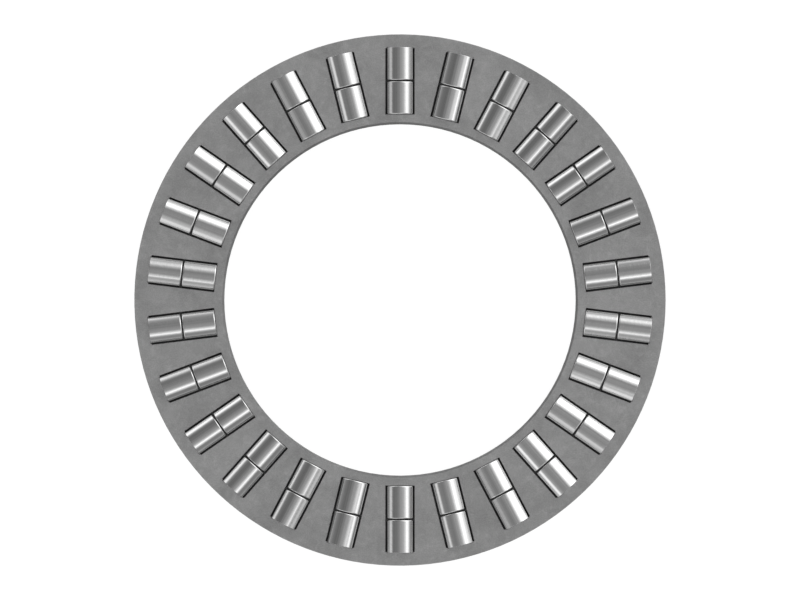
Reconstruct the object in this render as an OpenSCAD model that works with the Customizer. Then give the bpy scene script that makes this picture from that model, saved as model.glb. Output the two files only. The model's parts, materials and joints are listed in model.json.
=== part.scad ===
// Needle thrust bearing: a flat cage ring that holds two short rollers in each radial pocket.
// The bearing's axis is Z and the origin is its centre. Pocket 1 lies on +Y, and the numbers run
// clockwise as seen from above. Every roller turns about its own radial line.

/* [Cage ring] */
// Diameter of the cage's bore, which runs over the shaft
bore_d = 40.05; // [37:0.05:42]
// Diameter of the cage's outer rim, which runs inside the housing
outer_d = 60.5; // [58:0.1:64]
// Thickness of the cage between its two faces
cage_t = 1.85; // [1.5:0.05:2.2]
// Width of the ring left between the bore and the pockets
inner_land = 1.11; // [0.7:0.01:1.8]
// Width of the ring left between the pockets and the outer rim
outer_land = 1.57; // [0.8:0.01:2.4]
// Width of the bevel on both edges of the bore, measured along the face
bore_bevel = 0.23; // [0.05:0.01:0.4]
// Height of the same bevel, measured down the bore, which is steeper than 45 degrees
bore_bevel_height = 0.31; // [0.05:0.01:0.6]
// Size of the small bevel on both edges of the outer rim
rim_bevel = 0.03; // [0.02:0.01:0.2]

/* [Rollers] */
// Number of pockets round the ring, each with an inner and an outer roller
pocket_count = 26; // [20:1:28]
// Diameter of every roller, which sets the height of the whole bearing
roller_d = 3.5; // [3:0.05:3.8]
// Radius of the rounding round a roller's ends, apart from the outer roller's end at the rim
roller_corner = 0.13; // [0.05:0.01:0.4]
// Radius of the rounding round the outer roller's end at the rim, which is almost square
seated_corner = 0.03; // [0.02:0.01:0.2]

/* [Clearances] */
// Gap between a roller's side and the pocket's curved wall
side_play = 0.15; // [0.06:0.005:0.2]
// Depth of the round seat in the pocket's wall at the rim, which takes the outer roller's end
seat_depth = 0.13; // [0.05:0.01:0.4]
// Gap between the outer roller's side and its seat
seat_play = 0.03; // [0.02:0.005:0.06]
// Gap between a roller's end and the wall that it faces
end_play = 0.03; // [0.01:0.005:0.2]
// Gap between the two rollers of one pocket
roller_gap = 0.14; // [0.05:0.01:0.4]

/* [Hidden] */
// Fineness of round shapes in a preview
round_steps = 96;
// Finish colours: matt grey cage, bright ground rollers
cage_colour = [0.52, 0.52, 0.52];
roller_colour = [0.8, 0.8, 0.8];

bore_r = bore_d / 2;
outer_r = outer_d / 2;
half_t = cage_t / 2;
roller_r = roller_d / 2;

// The pocket runs from land to land, and its curved wall wraps the roller past its widest line,
// so that both windows are narrower than the roller and hold it in.
pocket_r = roller_r + side_play;
pocket_start = bore_r + inner_land;
pocket_end = outer_r - outer_land;
seat_r = roller_r + seat_play;
seat_end = pocket_end + seat_depth;
pocket_step = 360 / pocket_count;
first_pocket_angle = 90;

// Both rollers of a pocket are as long as each other, and share it from its inner wall to the seat
roller_len = (seat_end - pocket_start - roller_gap - 2 * end_play) / 2;
inner_roller_start = pocket_start + end_play;
outer_roller_start = inner_roller_start + roller_len + roller_gap;

function two_digits(i) = str(i < 10 ? "0" : "", i);
function inner_name(i) = str("inner_roller_", two_digits(i));
function outer_name(i) = str("outer_roller_", two_digits(i));

// Places its children on pocket i's radial line, a distance start from the axis, with their Z
// pointing away from the axis.
module on_pocket_line(i, start) {
    rotate([0, 0, first_pocket_angle - (i - 1) * pocket_step])
        translate([start, 0, 0])
            rotate([0, 90, 0])
                children();
}

// Half section of the ring, with its four edges bevelled
module ring_section() {
    polygon([
        [bore_r + bore_bevel, -half_t],
        [outer_r - rim_bevel, -half_t],
        [outer_r, -half_t + rim_bevel],
        [outer_r, half_t - rim_bevel],
        [outer_r - rim_bevel, half_t],
        [bore_r + bore_bevel, half_t],
        [bore_r, half_t - bore_bevel_height],
        [bore_r, -half_t + bore_bevel_height]
    ]);
}

// Half section of one half of a roller: a bar whose flat end, at the origin, has a rounded corner
module half_roller_section(corner) {
    square([roller_r - corner, roller_len / 2]);
    translate([0, corner])
        square([roller_r, roller_len / 2 - corner]);
    translate([roller_r - corner, corner])
        circle(r = corner, $fn = round_steps);
}

// Half section of a whole roller, from its end nearer the axis to its end nearer the rim
module roller_section(near_corner, far_corner) {
    half_roller_section(near_corner);
    translate([0, roller_len])
        mirror([0, 1])
            half_roller_section(far_corner);
}

// One-piece cage: the ring, pierced by the pockets
module cage() {
    color(cage_colour)
        difference() {
            rotate_extrude($fn = round_steps)
                ring_section();
            for (i = [1:pocket_count]) {
                on_pocket_line(i, pocket_start)
                    cylinder(r = pocket_r, h = pocket_end - pocket_start, $fn = round_steps);
                on_pocket_line(i, pocket_start)
                    cylinder(r = seat_r, h = seat_end - pocket_start, $fn = round_steps);
            }
        }
}

// The roller nearer the bore in pocket i
module inner_roller(i) {
    color(roller_colour)
        on_pocket_line(i, inner_roller_start)
            rotate_extrude($fn = round_steps)
                roller_section(roller_corner, roller_corner);
}

// The roller nearer the rim in pocket i, whose far end lies in its seat
module outer_roller(i) {
    color(roller_colour)
        on_pocket_line(i, outer_roller_start)
            rotate_extrude($fn = round_steps)
                roller_section(roller_corner, seated_corner);
}

cage();
for (i = [1:pocket_count]) {
    inner_roller(i);
    outer_roller(i);
}
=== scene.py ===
import json
import math

import bmesh
import bpy
from mathutils import Matrix, Vector


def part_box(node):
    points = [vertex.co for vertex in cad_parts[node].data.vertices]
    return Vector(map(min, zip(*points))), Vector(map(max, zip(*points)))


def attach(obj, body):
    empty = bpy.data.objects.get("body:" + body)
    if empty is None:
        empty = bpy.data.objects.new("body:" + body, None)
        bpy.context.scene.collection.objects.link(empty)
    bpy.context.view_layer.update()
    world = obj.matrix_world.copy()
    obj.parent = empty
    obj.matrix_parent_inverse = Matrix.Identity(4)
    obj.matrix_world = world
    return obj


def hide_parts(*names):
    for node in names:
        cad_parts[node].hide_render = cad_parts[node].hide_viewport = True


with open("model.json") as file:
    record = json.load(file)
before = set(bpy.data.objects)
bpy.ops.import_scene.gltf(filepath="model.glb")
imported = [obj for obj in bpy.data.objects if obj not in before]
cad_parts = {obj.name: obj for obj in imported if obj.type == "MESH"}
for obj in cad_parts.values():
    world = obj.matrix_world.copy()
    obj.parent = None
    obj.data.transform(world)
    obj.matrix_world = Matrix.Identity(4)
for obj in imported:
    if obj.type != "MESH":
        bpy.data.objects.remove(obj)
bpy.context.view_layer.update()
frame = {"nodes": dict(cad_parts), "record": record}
mounts = {mount["name"]: mount for mount in frame["record"]["mounts"]}

# Sizes of the part in metres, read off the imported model. The rollers' highest and lowest lines are
# where the raceways touch them, and the part stands on the lowest.
MM = 0.001
BORE_R = mounts["bore"]["dims"]["r_mm"] * MM
RIM_R = mounts["outer_rim"]["dims"]["r_mm"] * MM
FACE_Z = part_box("cage")[1].z
ROLLER_R = mounts["upper_raceway"]["pos_m"][2]
FLOOR_Z = mounts["lower_raceway"]["pos_m"][2]
POCKETS = sum(name.startswith("inner_roller_") for name in frame["nodes"])

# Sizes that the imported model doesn't give, the same as in the CAD source: the widths of the ring
# left inside and outside the windows, and the rounding of a roller's ends
INNER_LAND = 1.11 * MM
OUTER_LAND = 1.57 * MM
WINDOW_START = BORE_R + INNER_LAND
WINDOW_END = RIM_R - OUTER_LAND
ROLLER_CORNER = 0.13 * MM
# At the end nearer the rim, the rollers of the outer row are almost square
FAR_CORNERS = {"inner": ROLLER_CORNER, "outer": 0.03 * MM}

# Steps round a roller, and round the arc of each of its corners
ROLLER_STEPS = 128
CORNER_STEPS = 8
# An extra ring of points this far from each corner keeps a roller's side straight in its shading
SIDE_RING = 0.01 * MM

X_AXIS = (1, 0, 0)
Y_AXIS = (0, 1, 0)
Z_AXIS = (0, 0, 1)
WHITE = (1, 1, 1, 1)

# The camera looks straight down through a long lens, from this height above the cage's face.
# On that face the photograph has so many pixels to a millimetre.
CAMERA_HEIGHT = 1.2
PIXELS_PER_MM = 8.7825
IMAGE_WIDTH = 800
SENSOR_MM = 36
NEAR_CLIP = 0.01
FAR_CLIP = 10

# The studio, as soft-edged panels of light that face the part: azimuth and elevation of the
# middle, turn, half width, half height and softness of the edge as tangents, and brightness.
# Azimuth 0 is +X and 90 is +Y.
SOFTBOXES = {
    "key": (41, 27.5, -1, 0.46, 0.52, 0.6, 2.3),
    "key_side": (68, 34, -14, 0.31, 0.18, 0.25, 0.7),
    "right": (-12.5, 26, -38, 0.01, 0.37, 0.4, 2.45),
    "bar": (-63, 53, 6, 0.49, 0.01, 0.4, 2.1),
    "strip": (136, 10.5, -13, 0.37, 0.12, 0.22, 0.92),
    "left": (189, 18, 4, 0.15, 0.16, 0.2, 0.94),
    "lower_left": (223.5, 17.5, 3.5, 0.12, 0.18, 0.2, 0.82),
    "bottom": (249, 16, 20, 0.05, 0.33, 0.23, 0.68),
}
# A panel shows only where the cosine between the ray and the way to its middle is above this
PANEL_LIMIT = 0.05
# Glows, which have no edge: azimuth, elevation, how tight the glow is, and brightness. The touches
# are small and faint. The flags are black, and take light away.
GLOWS = {
    "right": (-23, 65, 5.6, 0.31),
    "lower_left": (-121, 25, 5.4, 0.33),
    "upper_left": (113, -12, 5.4, 0.68),
    "touch_top": (100, 59, 40, 0.06),
    "touch_strip": (125, 10, 60, 0.1),
    "touch_lower_left": (223, 21, 60, 0.09),
    "touch_bottom": (250, 12, 60, 0.08),
    "touch_bar": (290, 57, 60, 0.1),
    "touch_front": (304, 7, 60, 0.06),
    "flag_key": (69, 5, 60, -0.1),
    "flag_strip": (111, 27, 60, -0.05),
    "flag_front": (280, 22, 30, -0.06),
    "flag_bar": (305, 42, 60, -0.06),
    "flag_right": (332, 22, 40, -0.08),
    "flag_side": (345, 1, 70, -0.22),
}
# A ray's height, here and below, is a sine: 0 is level and 1 is straight up. The rest of the studio
# is dim overhead, and gets lighter down to the horizon with this power of one minus the height.
OVERHEAD_LIGHT = 0.155
HORIZON_LIGHT = 0.34
HORIZON_POWER = 2.0
# Share of all that light which is left on the ground, and the heights between which it fades
GROUND_SHARE = 0.1
GROUND_TOP = -0.06
GROUND_BOTTOM = -0.35
# The studio is this much brighter right along the horizon, in a band of this half height
HORIZON_BOOST = 0.25
HORIZON_BAND = 0.1
# A ring of light all round below the part, for its underside: heights of its lower and upper
# edges, half the softness of both, and brightness
RING_LOW = -0.56
RING_HIGH = -0.28
RING_SOFT = 0.08
RING_LIGHT = 0.7

# The flat floor, and the dome of the backdrop round it
FLOOR_RADIUS = 2.5
FLOOR_STEPS = 64
DOME_RADIUS = 2.6
DOME_STEPS = 48
DOME_RINGS = 24
# Brightness of the floor: right under the ring, around it, and well clear of it, where it and the
# backdrop are bright enough to come out pure white
FLOOR_DARK = 0.02
FLOOR_LIGHT = 1.01
CLEAR_WHITE = 1.5
# Each point of the floor looks up this far, along so many rays. The shares of open sky are where
# it leaves its darkest, where it is light, and where it begins to turn clear white.
SKY_REACH = 8 * MM
SKY_RAYS = 8
SKY_DARK = 0.12
SKY_LIGHT = 0.42
SKY_OPEN = 0.85

# Noises: scale, detail, roughness and, where there is one, distortion. Nearly all the values of a
# noise lie between the low and the high one.
NOISE_LOW = 0.3
NOISE_HIGH = 0.7
STUDIO_PATCHES = (9, 2.0, 0.6)
CAGE_CLOUDS = (140, 2.0, 0.5, 0.5)
CAGE_PATCHES = (800, 3.0, 0.55, 0.8)
CAGE_SPECKS = (1500, 2.0, 0.5, 0.6)
CAGE_GRAIN = (8500, 1.0, 0.5)
STEEL_PATCHES = (700, 3.0, 0.55)
STEEL_WAVES = (1.0, 3.0, 0.6)
# The light of the studio is this uneven, in its patches
UNEVENNESS = 0.1

# Grey of the cage's face, and how far clouds, patches, specks and grain shift it
CAGE_GREY = 0.4345
CLOUD_TONE = 0.036
PATCH_TONE = 0.023
SPECK_TONE = 0.045
GRAIN_TONE = 0.047
# Values of the noise at which the specks begin and are full, and between which the grain shifts
SPECK_START = 0.5
SPECK_FULL = 0.72
GRAIN_LOW = 0.25
GRAIN_HIGH = 0.75
# Depth of the grain's bumps, and their strength
GRAIN_DEPTH = 0.04 * MM
GRAIN_BUMP = 0.05
# Painted shade: shares of the face's brightness left on the pockets' walls, on the walls of bore and
# rim, and on the bevels
WALL_SHADE = 0.31
RIM_SHADE = 0.85
BEVEL_SHADE = 0.73
# A wall that lies no further in from the bore or the rim than the first distance is theirs, and
# one that lies past the second is a pocket's
RIM_SKIN = 0.05 * MM
RIM_SKIN_END = 0.1 * MM
# Heights of the normal, from 0 on a wall to 1 on a face, between which walls fade into bevels, and
# bevels into faces
WALL_END = 0.5
BEVEL_START = 0.56
BEVEL_END = 0.8
FACE_START = 0.95
# Painted shade along both side edges of the windows: share of the face's brightness left there,
# distance from a pocket's middle line, and how wide it fades out
EDGE_SHADE = 0.55
EDGE_REACH = 1.66 * MM
EDGE_WIDTH = 0.045 * MM
# Roughness of the cage in its clouds, and the share of it that is left at a glancing angle, with
# the two values of Facing between which it goes down to that
CAGE_SMOOTH = 0.56
CAGE_ROUGH = 0.66
GLANCE_SHARE = 0.2
GLANCE_START = 0.65
GLANCE_FULL = 0.9

# The rollers' steel: its colours and its roughness in its patches, and the slight waves left by
# the grinding, a little closer along the roller than round it
STEEL_DARK = (0.69, 0.69, 0.69, 1)
STEEL_PALE = (0.75, 0.75, 0.75, 1)
STEEL_SMOOTH = 0.06
STEEL_ROUGH = 0.1
WAVE_SCALE = (2000, 2000, 2500)
WAVE_DEPTH = 0.006 * MM
WAVE_BUMP = 1.0


def new_object(name, data):
    thing = bpy.data.objects.new(name, data)
    bpy.context.scene.collection.objects.link(thing)
    return thing


def new_mesh(name, made, material):
    """Turns a bmesh into a mesh in one material."""
    mesh = bpy.data.meshes.new(name)
    made.to_mesh(mesh)
    made.free()
    mesh.materials.append(material)
    return mesh


def new_material(name):
    """An empty material, and the graph of its nodes."""
    material = bpy.data.materials.new(name)
    material.use_nodes = True
    material.node_tree.nodes.clear()
    return material, Graph(material.node_tree)


class Graph:
    """A node tree with short ways to add and link its nodes."""

    def __init__(self, tree):
        self.tree = tree

    def node(self, kind, inputs=None, **settings):
        made = self.tree.nodes.new(kind)
        for name, value in settings.items():
            setattr(made, name, value)
        for name, value in (inputs or {}).items():
            if isinstance(value, bpy.types.NodeSocket):
                self.tree.links.new(value, made.inputs[name])
            else:
                made.inputs[name].default_value = value
        return made

    def math(self, operation, a, b=0.0, clamp=False):
        made = self.node("ShaderNodeMath", {0: a, 1: b}, operation=operation, use_clamp=clamp)
        return made.outputs["Value"]

    def add(self, a, b):
        return self.math("ADD", a, b)

    def multiply(self, a, b):
        return self.math("MULTIPLY", a, b)

    def dot(self, a, b):
        made = self.node("ShaderNodeVectorMath", {0: a, 1: tuple(b)}, operation="DOT_PRODUCT")
        return made.outputs["Value"]

    def fade(self, value, start, stop, low=0.0, high=1.0):
        """Runs smoothly from low, where value is start, to high, where it is stop."""
        inputs = {
            "Value": value,
            "From Min": start,
            "From Max": stop,
            "To Min": low,
            "To Max": high,
        }
        made = self.node("ShaderNodeMapRange", inputs, interpolation_type="SMOOTHSTEP")
        return made.outputs["Result"]

    def noise(self, vector, scale, detail, roughness, distortion=0.0):
        inputs = {
            "Vector": vector,
            "Scale": scale,
            "Detail": detail,
            "Roughness": roughness,
            "Distortion": distortion,
        }
        return self.node("ShaderNodeTexNoise", inputs).outputs["Fac"]

    def spread(self, noise, low, high):
        """Runs from low to high over the usual values of a noise."""
        return self.fade(noise, NOISE_LOW, NOISE_HIGH, low, high)

    def surface(self, shader):
        self.node("ShaderNodeOutputMaterial", {"Surface": shader})

    def metal_surface(self, colour, roughness, bump_height, bump_depth, bump_strength):
        """Makes the surface bare metal, with fine bumps."""
        bumps = {"Strength": bump_strength, "Distance": bump_depth, "Height": bump_height}
        inputs = {
            "Base Color": colour,
            "Metallic": 1.0,
            "Roughness": roughness,
            "Normal": self.node("ShaderNodeBump", bumps).outputs["Normal"],
        }
        self.surface(self.node("ShaderNodeBsdfPrincipled", inputs).outputs["BSDF"])


def add_camera():
    data = bpy.data.cameras.new("camera")
    data.sensor_width = SENSOR_MM
    data.lens = SENSOR_MM * PIXELS_PER_MM * (CAMERA_HEIGHT / MM) / IMAGE_WIDTH
    data.clip_start = NEAR_CLIP
    data.clip_end = FAR_CLIP
    camera = new_object("camera", data)
    camera.location = (0, 0, FACE_Z + CAMERA_HEIGHT)
    bpy.context.scene.camera = camera


def sphere_direction(azimuth, elevation):
    a = math.radians(azimuth)
    e = math.radians(elevation)
    return Vector((math.cos(e) * math.cos(a), math.cos(e) * math.sin(a), math.sin(e)))


def softbox_light(graph, ray, azimuth, elevation, turn, half_width, half_height, softness, light):
    """Brightness that one soft-edged panel shows along the ray."""
    facing = sphere_direction(azimuth, elevation)
    level = Vector((-math.sin(math.radians(azimuth)), math.cos(math.radians(azimuth)), 0))
    upright = facing.cross(level)
    t = math.radians(turn)
    across = level * math.cos(t) + upright * math.sin(t)
    along = upright * math.cos(t) - level * math.sin(t)
    depth = graph.dot(ray, facing)
    lit = graph.multiply(graph.math("GREATER_THAN", depth, PANEL_LIMIT), light)
    for axis, half in ((across, half_width), (along, half_height)):
        offset = graph.math("ABSOLUTE", graph.math("DIVIDE", graph.dot(ray, axis), depth))
        lit = graph.multiply(lit, graph.fade(offset, half + softness, half - softness))
    return lit


def glow_light(graph, ray, azimuth, elevation, tightness, light):
    """Brightness that one glow shows along the ray."""
    towards = graph.dot(ray, sphere_direction(azimuth, elevation))
    towards = graph.math("MAXIMUM", towards, 0.0)
    return graph.multiply(graph.math("POWER", towards, tightness), light)


def ring_light(graph, height):
    """Brightness that the ring of light below the part shows at this height of the ray."""
    lower = graph.fade(height, RING_LOW - RING_SOFT, RING_LOW + RING_SOFT, 0.0, RING_LIGHT)
    upper = graph.fade(height, RING_HIGH + RING_SOFT, RING_HIGH - RING_SOFT)
    return graph.multiply(lower, upper)


def add_world():
    world = bpy.data.worlds.new("studio")
    world.use_nodes = True
    world.node_tree.nodes.clear()
    graph = Graph(world.node_tree)
    ray = graph.node("ShaderNodeTexCoord").outputs["Generated"]
    height = graph.dot(ray, Z_AXIS)
    below_top = graph.math("SUBTRACT", 1.0, height, clamp=True)
    total = graph.math("POWER", below_top, HORIZON_POWER)
    total = graph.multiply(total, HORIZON_LIGHT - OVERHEAD_LIGHT)
    total = graph.add(total, OVERHEAD_LIGHT)
    for softbox in SOFTBOXES.values():
        total = graph.add(softbox_light(graph, ray, *softbox), total)
    for glow in GLOWS.values():
        total = graph.add(glow_light(graph, ray, *glow), total)
    ground = graph.fade(height, GROUND_BOTTOM, GROUND_TOP, GROUND_SHARE, 1.0)
    total = graph.multiply(total, ground)
    patches = graph.noise(ray, *STUDIO_PATCHES)
    total = graph.multiply(total, graph.spread(patches, 1 - UNEVENNESS, 1 + UNEVENNESS))
    off_level = graph.math("ABSOLUTE", height)
    boost = graph.fade(off_level, HORIZON_BAND, 0.0, 1.0, 1 + HORIZON_BOOST)
    total = graph.multiply(total, boost)
    total = graph.add(total, ring_light(graph, height))
    background = graph.node("ShaderNodeBackground", {"Color": WHITE, "Strength": total})
    graph.node("ShaderNodeOutputWorld", {"Surface": background.outputs["Background"]})
    bpy.context.scene.world = world


def camera_only(thing):
    """Leaves it to the camera's eye, so that it neither lights nor shades the part."""
    thing.visible_diffuse = False
    thing.visible_glossy = False
    thing.visible_transmission = False
    thing.visible_shadow = False


def floor_material():
    """White light, dark only where the ring hides the sky, and clear when seen from below."""
    material, graph = new_material("pale_floor")
    sky = graph.node("ShaderNodeAmbientOcclusion", {"Distance": SKY_REACH}, samples=SKY_RAYS)
    open_sky = sky.outputs["AO"]
    light = graph.fade(open_sky, SKY_DARK, SKY_LIGHT, FLOOR_DARK, FLOOR_LIGHT)
    light = graph.add(light, graph.fade(open_sky, SKY_OPEN, 1.0, 0.0, CLEAR_WHITE - FLOOR_LIGHT))
    pale = graph.node("ShaderNodeEmission", {"Color": WHITE, "Strength": light})
    clear = graph.node("ShaderNodeBsdfTransparent")
    below = graph.node("ShaderNodeNewGeometry").outputs["Backfacing"]
    inputs = {0: below, 1: pale.outputs["Emission"], 2: clear.outputs["BSDF"]}
    graph.surface(graph.node("ShaderNodeMixShader", inputs).outputs["Shader"])
    return material


def add_floor():
    made = bmesh.new()
    bmesh.ops.create_circle(made, cap_ends=True, radius=FLOOR_RADIUS, segments=FLOOR_STEPS)
    floor = new_object("floor", new_mesh("floor", made, floor_material()))
    floor.location.z = FLOOR_Z
    camera_only(floor)


def add_backdrop():
    """A pale dome all round, for the views that look past the floor."""
    material, graph = new_material("pale_backdrop")
    pale = graph.node("ShaderNodeEmission", {"Color": WHITE, "Strength": CLEAR_WHITE})
    graph.surface(pale.outputs["Emission"])
    made = bmesh.new()
    bmesh.ops.create_uvsphere(
        made, u_segments=DOME_STEPS, v_segments=DOME_RINGS, radius=DOME_RADIUS
    )
    camera_only(new_object("backdrop", new_mesh("backdrop", made, material)))


def steel_material():
    """Ground and polished bearing steel, with slight waves left by the grinding."""
    material, graph = new_material("roller_steel")
    place = graph.node("ShaderNodeTexCoord").outputs["Object"]
    stretched = graph.node("ShaderNodeMapping", {"Vector": place, "Scale": WAVE_SCALE})
    waves = graph.noise(stretched.outputs["Vector"], *STEEL_WAVES)
    patches = graph.noise(place, *STEEL_PATCHES)
    tint = graph.node("ShaderNodeMixRGB", {0: patches, 1: STEEL_DARK, 2: STEEL_PALE})
    roughness = graph.spread(patches, STEEL_SMOOTH, STEEL_ROUGH)
    graph.metal_surface(tint.outputs["Color"], roughness, waves, WAVE_DEPTH, WAVE_BUMP)
    return material


def paint_shade_on_window_edges(graph, grey, place, radius):
    """Paints shade into the cage's grey along both side edges of each window."""
    turned = graph.math("ARCTAN2", graph.dot(place, X_AXIS), graph.dot(place, Y_AXIS))
    turned = graph.math("PINGPONG", turned, math.pi / POCKETS)
    across = graph.multiply(radius, graph.math("SINE", turned))
    along = graph.multiply(radius, graph.math("COSINE", turned))
    painted_edge_shade = graph.fade(across, EDGE_REACH, EDGE_REACH + EDGE_WIDTH, 1 - EDGE_SHADE, 0.0)
    painted_edge_shade = graph.multiply(painted_edge_shade, graph.fade(along, WINDOW_START - EDGE_WIDTH / 2, WINDOW_START))
    painted_edge_shade = graph.multiply(painted_edge_shade, graph.fade(along, WINDOW_END + EDGE_WIDTH / 2, WINDOW_END))
    return graph.multiply(grey, graph.math("SUBTRACT", 1.0, painted_edge_shade))


def paint_shade_on_walls(graph, grey, radius):
    """Paints shade into the cage's grey on the walls of its pockets, bore and rim, and on its
    bevels.
    """
    half_width = (RIM_R - BORE_R) / 2
    off_middle = graph.math("ABSOLUTE", graph.math("SUBTRACT", radius, BORE_R + half_width))
    skin = (half_width - RIM_SKIN_END, half_width - RIM_SKIN)
    wall = graph.fade(off_middle, *skin, WALL_SHADE, RIM_SHADE)
    normal = graph.node("ShaderNodeNewGeometry").outputs["True Normal"]
    upright = graph.math("ABSOLUTE", graph.dot(normal, Z_AXIS))
    grey = graph.multiply(grey, graph.fade(upright, WALL_END, BEVEL_START, wall, BEVEL_SHADE))
    return graph.multiply(grey, graph.fade(upright, BEVEL_END, FACE_START, 1.0, 1 / BEVEL_SHADE))


def cage_material():
    """Matt tumbled sheet steel: clouds, patches, small light specks, fine grain, painted shade on
    walls.
    """
    material, graph = new_material("cage_steel")
    place = graph.node("ShaderNodeTexCoord").outputs["Object"]
    clouds = graph.noise(place, *CAGE_CLOUDS)
    patches = graph.noise(place, *CAGE_PATCHES)
    specks = graph.noise(place, *CAGE_SPECKS)
    grain = graph.noise(place, *CAGE_GRAIN)
    grey = graph.spread(clouds, CAGE_GREY - CLOUD_TONE, CAGE_GREY + CLOUD_TONE)
    grey = graph.add(grey, graph.spread(patches, -PATCH_TONE, PATCH_TONE))
    grey = graph.add(grey, graph.fade(specks, SPECK_START, SPECK_FULL, 0.0, SPECK_TONE))
    grey = graph.add(grey, graph.fade(grain, GRAIN_LOW, GRAIN_HIGH, -GRAIN_TONE, GRAIN_TONE))
    radius = graph.node("ShaderNodeVectorMath", {0: place}, operation="LENGTH").outputs["Value"]
    # Painted shade along the side edges of the windows
    grey = paint_shade_on_window_edges(graph, grey, place, radius)
    # Painted shade on the walls and the bevels
    grey = paint_shade_on_walls(graph, grey, radius)
    colour = graph.node("ShaderNodeCombineColor", {"Red": grey, "Green": grey, "Blue": grey})
    facing = graph.node("ShaderNodeLayerWeight").outputs["Facing"]
    roughness = graph.spread(clouds, CAGE_SMOOTH, CAGE_ROUGH)
    glance = graph.fade(facing, GLANCE_START, GLANCE_FULL, 1.0, GLANCE_SHARE)
    roughness = graph.multiply(roughness, glance)
    graph.metal_surface(colour.outputs["Color"], roughness, grain, GRAIN_DEPTH, GRAIN_BUMP)
    return material


def row_span(row):
    """Start and end of a row's rollers along their line, read off the one in pocket 1, on +Y."""
    low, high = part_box(f"{row}_roller_01")
    return low.y, high.y


def corner_arc(corner):
    """Points of a rounded end corner, as distances in from the roller's side and from its end."""
    turns = [math.pi / 2 * i / CORNER_STEPS for i in range(CORNER_STEPS + 1)]
    points = [(corner - corner * math.sin(a), corner - corner * math.cos(a)) for a in turns]
    return points + [(0, corner + SIDE_RING)]


def roller_mesh(row, length, material):
    """A roller of this row, along +Z from the origin, turned from its half section."""
    near = [(ROLLER_R - inset, along) for inset, along in corner_arc(ROLLER_CORNER)]
    far = [(ROLLER_R - inset, length - along) for inset, along in corner_arc(FAR_CORNERS[row])]
    circle = [2 * math.pi * i / ROLLER_STEPS for i in range(ROLLER_STEPS)]
    made = bmesh.new()
    rings = [[made.verts.new((0, 0, 0))]]
    for radius, along in near + far[::-1]:
        ring = [(radius * math.cos(a), radius * math.sin(a), along) for a in circle]
        rings.append([made.verts.new(point) for point in ring])
    rings.append([made.verts.new((0, 0, length))])
    for low, high in zip(rings, rings[1:]):
        for i in range(ROLLER_STEPS):
            j = (i + 1) % ROLLER_STEPS
            if len(low) == 1:
                made.faces.new((low[0], high[j], high[i])).smooth = False
            elif len(high) == 1:
                made.faces.new((low[i], low[j], high[0])).smooth = False
            else:
                made.faces.new((low[i], low[j], high[j], high[i])).smooth = True
    return new_mesh(f"{row}_needle", made, material)


def add_needles():
    """Dresses every roller as a finer mesh of the same shape."""
    steel = steel_material()
    for row in FAR_CORNERS:
        start, end = row_span(row)
        mesh = roller_mesh(row, end - start, steel)
        outward = Matrix.Translation((start, 0, 0))
        lie_down = Matrix.Rotation(math.pi / 2, 4, "Y")
        for i in range(POCKETS):
            angle = math.pi / 2 - i * 2 * math.pi / POCKETS
            needle = new_object(f"{row}_needle_{i + 1:02d}", mesh)
            needle.matrix_world = Matrix.Rotation(angle, 4, "Z") @ outward @ lie_down
            node = f"{row}_roller_{i + 1:02d}"
            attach(needle, node)
            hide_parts(node)
            # In the photograph the rollers mirror the studio, but not each other
            needle.visible_glossy = False


def dress_cage():
    cage = frame["nodes"]["cage"]
    cage.data.materials.clear()
    cage.data.materials.append(cage_material())


bpy.context.scene.view_settings.view_transform = "Standard"
add_camera()
add_world()
add_floor()
add_backdrop()
add_needles()
dress_cage()
